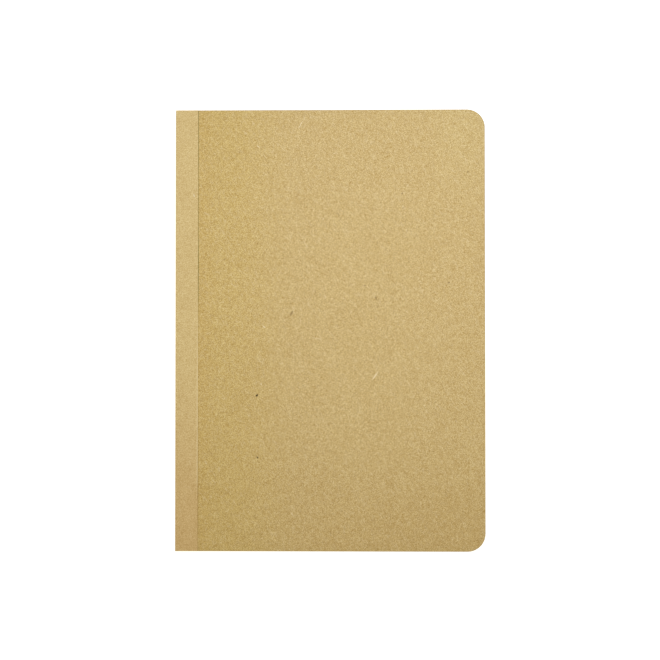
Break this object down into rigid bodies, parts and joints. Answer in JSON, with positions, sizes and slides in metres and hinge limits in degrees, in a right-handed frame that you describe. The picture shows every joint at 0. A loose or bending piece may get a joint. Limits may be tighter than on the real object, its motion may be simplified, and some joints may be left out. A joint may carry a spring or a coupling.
{
  "type": "pocket notebook",
  "caption": "Tape-bound pocket notebook: two kraft board covers with rounded fore-edge corners, a glued block of cream leaves and a kraft paper spine strip; covers and leaves turn.",
  "frame": {"origin": "middle of the bottom of the closed notebook's bounding box, as it lies on its back cover", "axes": "+Z out of the front cover, +Y towards the head, +X from the spine towards the fore-edge"},
  "size_m": [0.1038, 0.148, 0.0059],
  "materials": {
    "kraft_board": "uncoated mottled kraft board",
    "kraft_tape": "smooth kraft paper tape",
    "spine_glue": "dried adhesive, translucent cream",
    "page_paper": "uncoated cream writing paper"
  },
  "bodies": {
    "back_spine": {"back_spine_tape": "kraft_tape", "back_spine_glue": "spine_glue"},
    "back_cover": {"back_cover": "kraft_board", "back_tape_flap": "kraft_tape"},
    "front_spine": {"front_spine_tape": "kraft_tape", "front_spine_glue": "spine_glue"},
    "front_cover": {"front_cover": "kraft_board", "front_tape_flap": "kraft_tape"},
    "leaf_01": {"leaf_01": "page_paper"},
    "leaf_02": {"leaf_02": "page_paper"},
    "leaf_03": {"leaf_03": "page_paper"},
    "leaf_04": {"leaf_04": "page_paper"},
    "leaf_05": {"leaf_05": "page_paper"},
    "leaf_06": {"leaf_06": "page_paper"},
    "leaf_07": {"leaf_07": "page_paper"},
    "leaf_08": {"leaf_08": "page_paper"},
    "leaf_09": {"leaf_09": "page_paper"},
    "leaf_10": {"leaf_10": "page_paper"},
    "leaf_11": {"leaf_11": "page_paper"},
    "leaf_12": {"leaf_12": "page_paper"},
    "leaf_13": {"leaf_13": "page_paper"},
    "leaf_14": {"leaf_14": "page_paper"},
    "leaf_15": {"leaf_15": "page_paper"},
    "leaf_16": {"leaf_16": "page_paper"},
    "leaf_17": {"leaf_17": "page_paper"},
    "leaf_18": {"leaf_18": "page_paper"},
    "leaf_19": {"leaf_19": "page_paper"},
    "leaf_20": {"leaf_20": "page_paper"},
    "leaf_21": {"leaf_21": "page_paper"},
    "leaf_22": {"leaf_22": "page_paper"},
    "leaf_23": {"leaf_23": "page_paper"},
    "leaf_24": {"leaf_24": "page_paper"},
    "leaf_25": {"leaf_25": "page_paper"},
    "leaf_26": {"leaf_26": "page_paper"},
    "leaf_27": {"leaf_27": "page_paper"},
    "leaf_28": {"leaf_28": "page_paper"},
    "leaf_29": {"leaf_29": "page_paper"},
    "leaf_30": {"leaf_30": "page_paper"},
    "leaf_31": {"leaf_31": "page_paper"},
    "leaf_32": {"leaf_32": "page_paper"},
    "leaf_33": {"leaf_33": "page_paper"},
    "leaf_34": {"leaf_34": "page_paper"},
    "leaf_35": {"leaf_35": "page_paper"},
    "leaf_36": {"leaf_36": "page_paper"},
    "leaf_37": {"leaf_37": "page_paper"},
    "leaf_38": {"leaf_38": "page_paper"},
    "leaf_39": {"leaf_39": "page_paper"},
    "leaf_40": {"leaf_40": "page_paper"}
  },
  "joints": [
    {"name": "back_cover_hinge", "type": "hinge", "parent": "back_spine", "child": "back_cover", "pos_m": [-0.05193, 0, -0.00003], "axis": [0, -1, 0], "range_deg": [-179.9, 0]},
    {"name": "middle_opening", "type": "hinge", "parent": "back_spine", "child": "front_spine", "pos_m": [-0.05193, 0, 0.00296], "axis": [0, -1, 0], "range_deg": [0, 179.9]},
    {"name": "front_cover_hinge", "type": "hinge", "parent": "front_spine", "child": "front_cover", "pos_m": [-0.05193, 0, 0.00595], "axis": [0, -1, 0], "range_deg": [0, 179.9]},
    {"name": "leaf_01_turn", "type": "hinge", "parent": "front_spine", "child": "leaf_01", "pos_m": [-0.05193, 0, 0.00296], "axis": [0, -1, 0], "range_deg": [-0.53, 0]},
    {"name": "leaf_02_turn", "type": "hinge", "parent": "front_spine", "child": "leaf_02", "pos_m": [-0.05193, 0, 0.00296], "axis": [0, -1, 0], "range_deg": [-1.09, 0]},
    {"name": "leaf_03_turn", "type": "hinge", "parent": "front_spine", "child": "leaf_03", "pos_m": [-0.05193, 0, 0.00296], "axis": [0, -1, 0], "range_deg": [-1.72, 0]},
    {"name": "leaf_04_turn", "type": "hinge", "parent": "front_spine", "child": "leaf_04", "pos_m": [-0.05193, 0, 0.00296], "axis": [0, -1, 0], "range_deg": [-2.42, 0]},
    {"name": "leaf_05_turn", "type": "hinge", "parent": "front_spine", "child": "leaf_05", "pos_m": [-0.05193, 0, 0.00296], "axis": [0, -1, 0], "range_deg": [-3.2, 0]},
    {"name": "leaf_06_turn", "type": "hinge", "parent": "front_spine", "child": "leaf_06", "pos_m": [-0.05193, 0, 0.00296], "axis": [0, -1, 0], "range_deg": [-4.07, 0]},
    {"name": "leaf_07_turn", "type": "hinge", "parent": "front_spine", "child": "leaf_07", "pos_m": [-0.05193, 0, 0.00296], "axis": [0, -1, 0], "range_deg": [-5.04, 0]},
    {"name": "leaf_08_turn", "type": "hinge", "parent": "front_spine", "child": "leaf_08", "pos_m": [-0.05193, 0, 0.00296], "axis": [0, -1, 0], "range_deg": [-6.11, 0]},
    {"name": "leaf_09_turn", "type": "hinge", "parent": "front_spine", "child": "leaf_09", "pos_m": [-0.05193, 0, 0.00296], "axis": [0, -1, 0], "range_deg": [-7.3, 0]},
    {"name": "leaf_10_turn", "type": "hinge", "parent": "front_spine", "child": "leaf_10", "pos_m": [-0.05193, 0, 0.00296], "axis": [0, -1, 0], "range_deg": [-8.59, 0]},
    {"name": "leaf_11_turn", "type": "hinge", "parent": "front_spine", "child": "leaf_11", "pos_m": [-0.05193, 0, 0.00296], "axis": [0, -1, 0], "range_deg": [-10.01, 0]},
    {"name": "leaf_12_turn", "type": "hinge", "parent": "front_spine", "child": "leaf_12", "pos_m": [-0.05193, 0, 0.00296], "axis": [0, -1, 0], "range_deg": [-11.55, 0]},
    {"name": "leaf_13_turn", "type": "hinge", "parent": "front_spine", "child": "leaf_13", "pos_m": [-0.05193, 0, 0.00296], "axis": [0, -1, 0], "range_deg": [-13.21, 0]},
    {"name": "leaf_14_turn", "type": "hinge", "parent": "front_spine", "child": "leaf_14", "pos_m": [-0.05193, 0, 0.00296], "axis": [0, -1, 0], "range_deg": [-15.01, 0]},
    {"name": "leaf_15_turn", "type": "hinge", "parent": "front_spine", "child": "leaf_15", "pos_m": [-0.05193, 0, 0.00296], "axis": [0, -1, 0], "range_deg": [-16.95, 0]},
    {"name": "leaf_16_turn", "type": "hinge", "parent": "front_spine", "child": "leaf_16", "pos_m": [-0.05193, 0, 0.00296], "axis": [0, -1, 0], "range_deg": [-19.02, 0]},
    {"name": "leaf_17_turn", "type": "hinge", "parent": "front_spine", "child": "leaf_17", "pos_m": [-0.05193, 0, 0.00296], "axis": [0, -1, 0], "range_deg": [-21.24, 0]},
    {"name": "leaf_18_turn", "type": "hinge", "parent": "front_spine", "child": "leaf_18", "pos_m": [-0.05193, 0, 0.00296], "axis": [0, -1, 0], "range_deg": [-23.61, 0]},
    {"name": "leaf_19_turn", "type": "hinge", "parent": "front_spine", "child": "leaf_19", "pos_m": [-0.05193, 0, 0.00296], "axis": [0, -1, 0], "range_deg": [-26.12, 0]},
    {"name": "leaf_20_turn", "type": "hinge", "parent": "front_spine", "child": "leaf_20", "pos_m": [-0.05193, 0, 0.00296], "axis": [0, -1, 0], "range_deg": [-28.79, 0]},
    {"name": "leaf_21_turn", "type": "hinge", "parent": "back_spine", "child": "leaf_21", "pos_m": [-0.05193, 0, 0.00296], "axis": [0, -1, 0], "range_deg": [0, 28.79]},
    {"name": "leaf_22_turn", "type": "hinge", "parent": "back_spine", "child": "leaf_22", "pos_m": [-0.05193, 0, 0.00296], "axis": [0, -1, 0], "range_deg": [0, 26.12]},
    {"name": "leaf_23_turn", "type": "hinge", "parent": "back_spine", "child": "leaf_23", "pos_m": [-0.05193, 0, 0.00296], "axis": [0, -1, 0], "range_deg": [0, 23.61]},
    {"name": "leaf_24_turn", "type": "hinge", "parent": "back_spine", "child": "leaf_24", "pos_m": [-0.05193, 0, 0.00296], "axis": [0, -1, 0], "range_deg": [0, 21.24]},
    {"name": "leaf_25_turn", "type": "hinge", "parent": "back_spine", "child": "leaf_25", "pos_m": [-0.05193, 0, 0.00296], "axis": [0, -1, 0], "range_deg": [0, 19.02]},
    {"name": "leaf_26_turn", "type": "hinge", "parent": "back_spine", "child": "leaf_26", "pos_m": [-0.05193, 0, 0.00296], "axis": [0, -1, 0], "range_deg": [0, 16.95]},
    {"name": "leaf_27_turn", "type": "hinge", "parent": "back_spine", "child": "leaf_27", "pos_m": [-0.05193, 0, 0.00296], "axis": [0, -1, 0], "range_deg": [0, 15.01]},
    {"name": "leaf_28_turn", "type": "hinge", "parent": "back_spine", "child": "leaf_28", "pos_m": [-0.05193, 0, 0.00296], "axis": [0, -1, 0], "range_deg": [0, 13.21]},
    {"name": "leaf_29_turn", "type": "hinge", "parent": "back_spine", "child": "leaf_29", "pos_m": [-0.05193, 0, 0.00296], "axis": [0, -1, 0], "range_deg": [0, 11.55]},
    {"name": "leaf_30_turn", "type": "hinge", "parent": "back_spine", "child": "leaf_30", "pos_m": [-0.05193, 0, 0.00296], "axis": [0, -1, 0], "range_deg": [0, 10.01]},
    {"name": "leaf_31_turn", "type": "hinge", "parent": "back_spine", "child": "leaf_31", "pos_m": [-0.05193, 0, 0.00296], "axis": [0, -1, 0], "range_deg": [0, 8.59]},
    {"name": "leaf_32_turn", "type": "hinge", "parent": "back_spine", "child": "leaf_32", "pos_m": [-0.05193, 0, 0.00296], "axis": [0, -1, 0], "range_deg": [0, 7.3]},
    {"name": "leaf_33_turn", "type": "hinge", "parent": "back_spine", "child": "leaf_33", "pos_m": [-0.05193, 0, 0.00296], "axis": [0, -1, 0], "range_deg": [0, 6.11]},
    {"name": "leaf_34_turn", "type": "hinge", "parent": "back_spine", "child": "leaf_34", "pos_m": [-0.05193, 0, 0.00296], "axis": [0, -1, 0], "range_deg": [0, 5.04]},
    {"name": "leaf_35_turn", "type": "hinge", "parent": "back_spine", "child": "leaf_35", "pos_m": [-0.05193, 0, 0.00296], "axis": [0, -1, 0], "range_deg": [0, 4.07]},
    {"name": "leaf_36_turn", "type": "hinge", "parent": "back_spine", "child": "leaf_36", "pos_m": [-0.05193, 0, 0.00296], "axis": [0, -1, 0], "range_deg": [0, 3.2]},
    {"name": "leaf_37_turn", "type": "hinge", "parent": "back_spine", "child": "leaf_37", "pos_m": [-0.05193, 0, 0.00296], "axis": [0, -1, 0], "range_deg": [0, 2.42]},
    {"name": "leaf_38_turn", "type": "hinge", "parent": "back_spine", "child": "leaf_38", "pos_m": [-0.05193, 0, 0.00296], "axis": [0, -1, 0], "range_deg": [0, 1.72]},
    {"name": "leaf_39_turn", "type": "hinge", "parent": "back_spine", "child": "leaf_39", "pos_m": [-0.05193, 0, 0.00296], "axis": [0, -1, 0], "range_deg": [0, 1.09]},
    {"name": "leaf_40_turn", "type": "hinge", "parent": "back_spine", "child": "leaf_40", "pos_m": [-0.05193, 0, 0.00296], "axis": [0, -1, 0], "range_deg": [0, 0.53]}
  ],
  "couplings": [
    {"joint": "leaf_01_turn", "follows": "middle_opening", "ratio": -0.00288},
    {"joint": "leaf_02_turn", "follows": "middle_opening", "ratio": -0.00601},
    {"joint": "leaf_03_turn", "follows": "middle_opening", "ratio": -0.0095},
    {"joint": "leaf_04_turn", "follows": "middle_opening", "ratio": -0.01339},
    {"joint": "leaf_05_turn", "follows": "middle_opening", "ratio": -0.01773},
    {"joint": "leaf_06_turn", "follows": "middle_opening", "ratio": -0.02258},
    {"joint": "leaf_07_turn", "follows": "middle_opening", "ratio": -0.02797},
    {"joint": "leaf_08_turn", "follows": "middle_opening", "ratio": -0.03393},
    {"joint": "leaf_09_turn", "follows": "middle_opening", "ratio": -0.0405},
    {"joint": "leaf_10_turn", "follows": "middle_opening", "ratio": -0.0477},
    {"joint": "leaf_11_turn", "follows": "middle_opening", "ratio": -0.05557},
    {"joint": "leaf_12_turn", "follows": "middle_opening", "ratio": -0.06412},
    {"joint": "leaf_13_turn", "follows": "middle_opening", "ratio": -0.07338},
    {"joint": "leaf_14_turn", "follows": "middle_opening", "ratio": -0.08338},
    {"joint": "leaf_15_turn", "follows": "middle_opening", "ratio": -0.09414},
    {"joint": "leaf_16_turn", "follows": "middle_opening", "ratio": -0.10568},
    {"joint": "leaf_17_turn", "follows": "middle_opening", "ratio": -0.11801},
    {"joint": "leaf_18_turn", "follows": "middle_opening", "ratio": -0.13116},
    {"joint": "leaf_19_turn", "follows": "middle_opening", "ratio": -0.14515},
    {"joint": "leaf_20_turn", "follows": "middle_opening", "ratio": -0.16},
    {"joint": "leaf_21_turn", "follows": "middle_opening", "ratio": 0.16},
    {"joint": "leaf_22_turn", "follows": "middle_opening", "ratio": 0.14515},
    {"joint": "leaf_23_turn", "follows": "middle_opening", "ratio": 0.13116},
    {"joint": "leaf_24_turn", "follows": "middle_opening", "ratio": 0.11801},
    {"joint": "leaf_25_turn", "follows": "middle_opening", "ratio": 0.10568},
    {"joint": "leaf_26_turn", "follows": "middle_opening", "ratio": 0.09414},
    {"joint": "leaf_27_turn", "follows": "middle_opening", "ratio": 0.08338},
    {"joint": "leaf_28_turn", "follows": "middle_opening", "ratio": 0.07338},
    {"joint": "leaf_29_turn", "follows": "middle_opening", "ratio": 0.06412},
    {"joint": "leaf_30_turn", "follows": "middle_opening", "ratio": 0.05557},
    {"joint": "leaf_31_turn", "follows": "middle_opening", "ratio": 0.0477},
    {"joint": "leaf_32_turn", "follows": "middle_opening", "ratio": 0.0405},
    {"joint": "leaf_33_turn", "follows": "middle_opening", "ratio": 0.03393},
    {"joint": "leaf_34_turn", "follows": "middle_opening", "ratio": 0.02797},
    {"joint": "leaf_35_turn", "follows": "middle_opening", "ratio": 0.02258},
    {"joint": "leaf_36_turn", "follows": "middle_opening", "ratio": 0.01773},
    {"joint": "leaf_37_turn", "follows": "middle_opening", "ratio": 0.01339},
    {"joint": "leaf_38_turn", "follows": "middle_opening", "ratio": 0.0095},
    {"joint": "leaf_39_turn", "follows": "middle_opening", "ratio": 0.00601},
    {"joint": "leaf_40_turn", "follows": "middle_opening", "ratio": 0.00288}
  ]
}
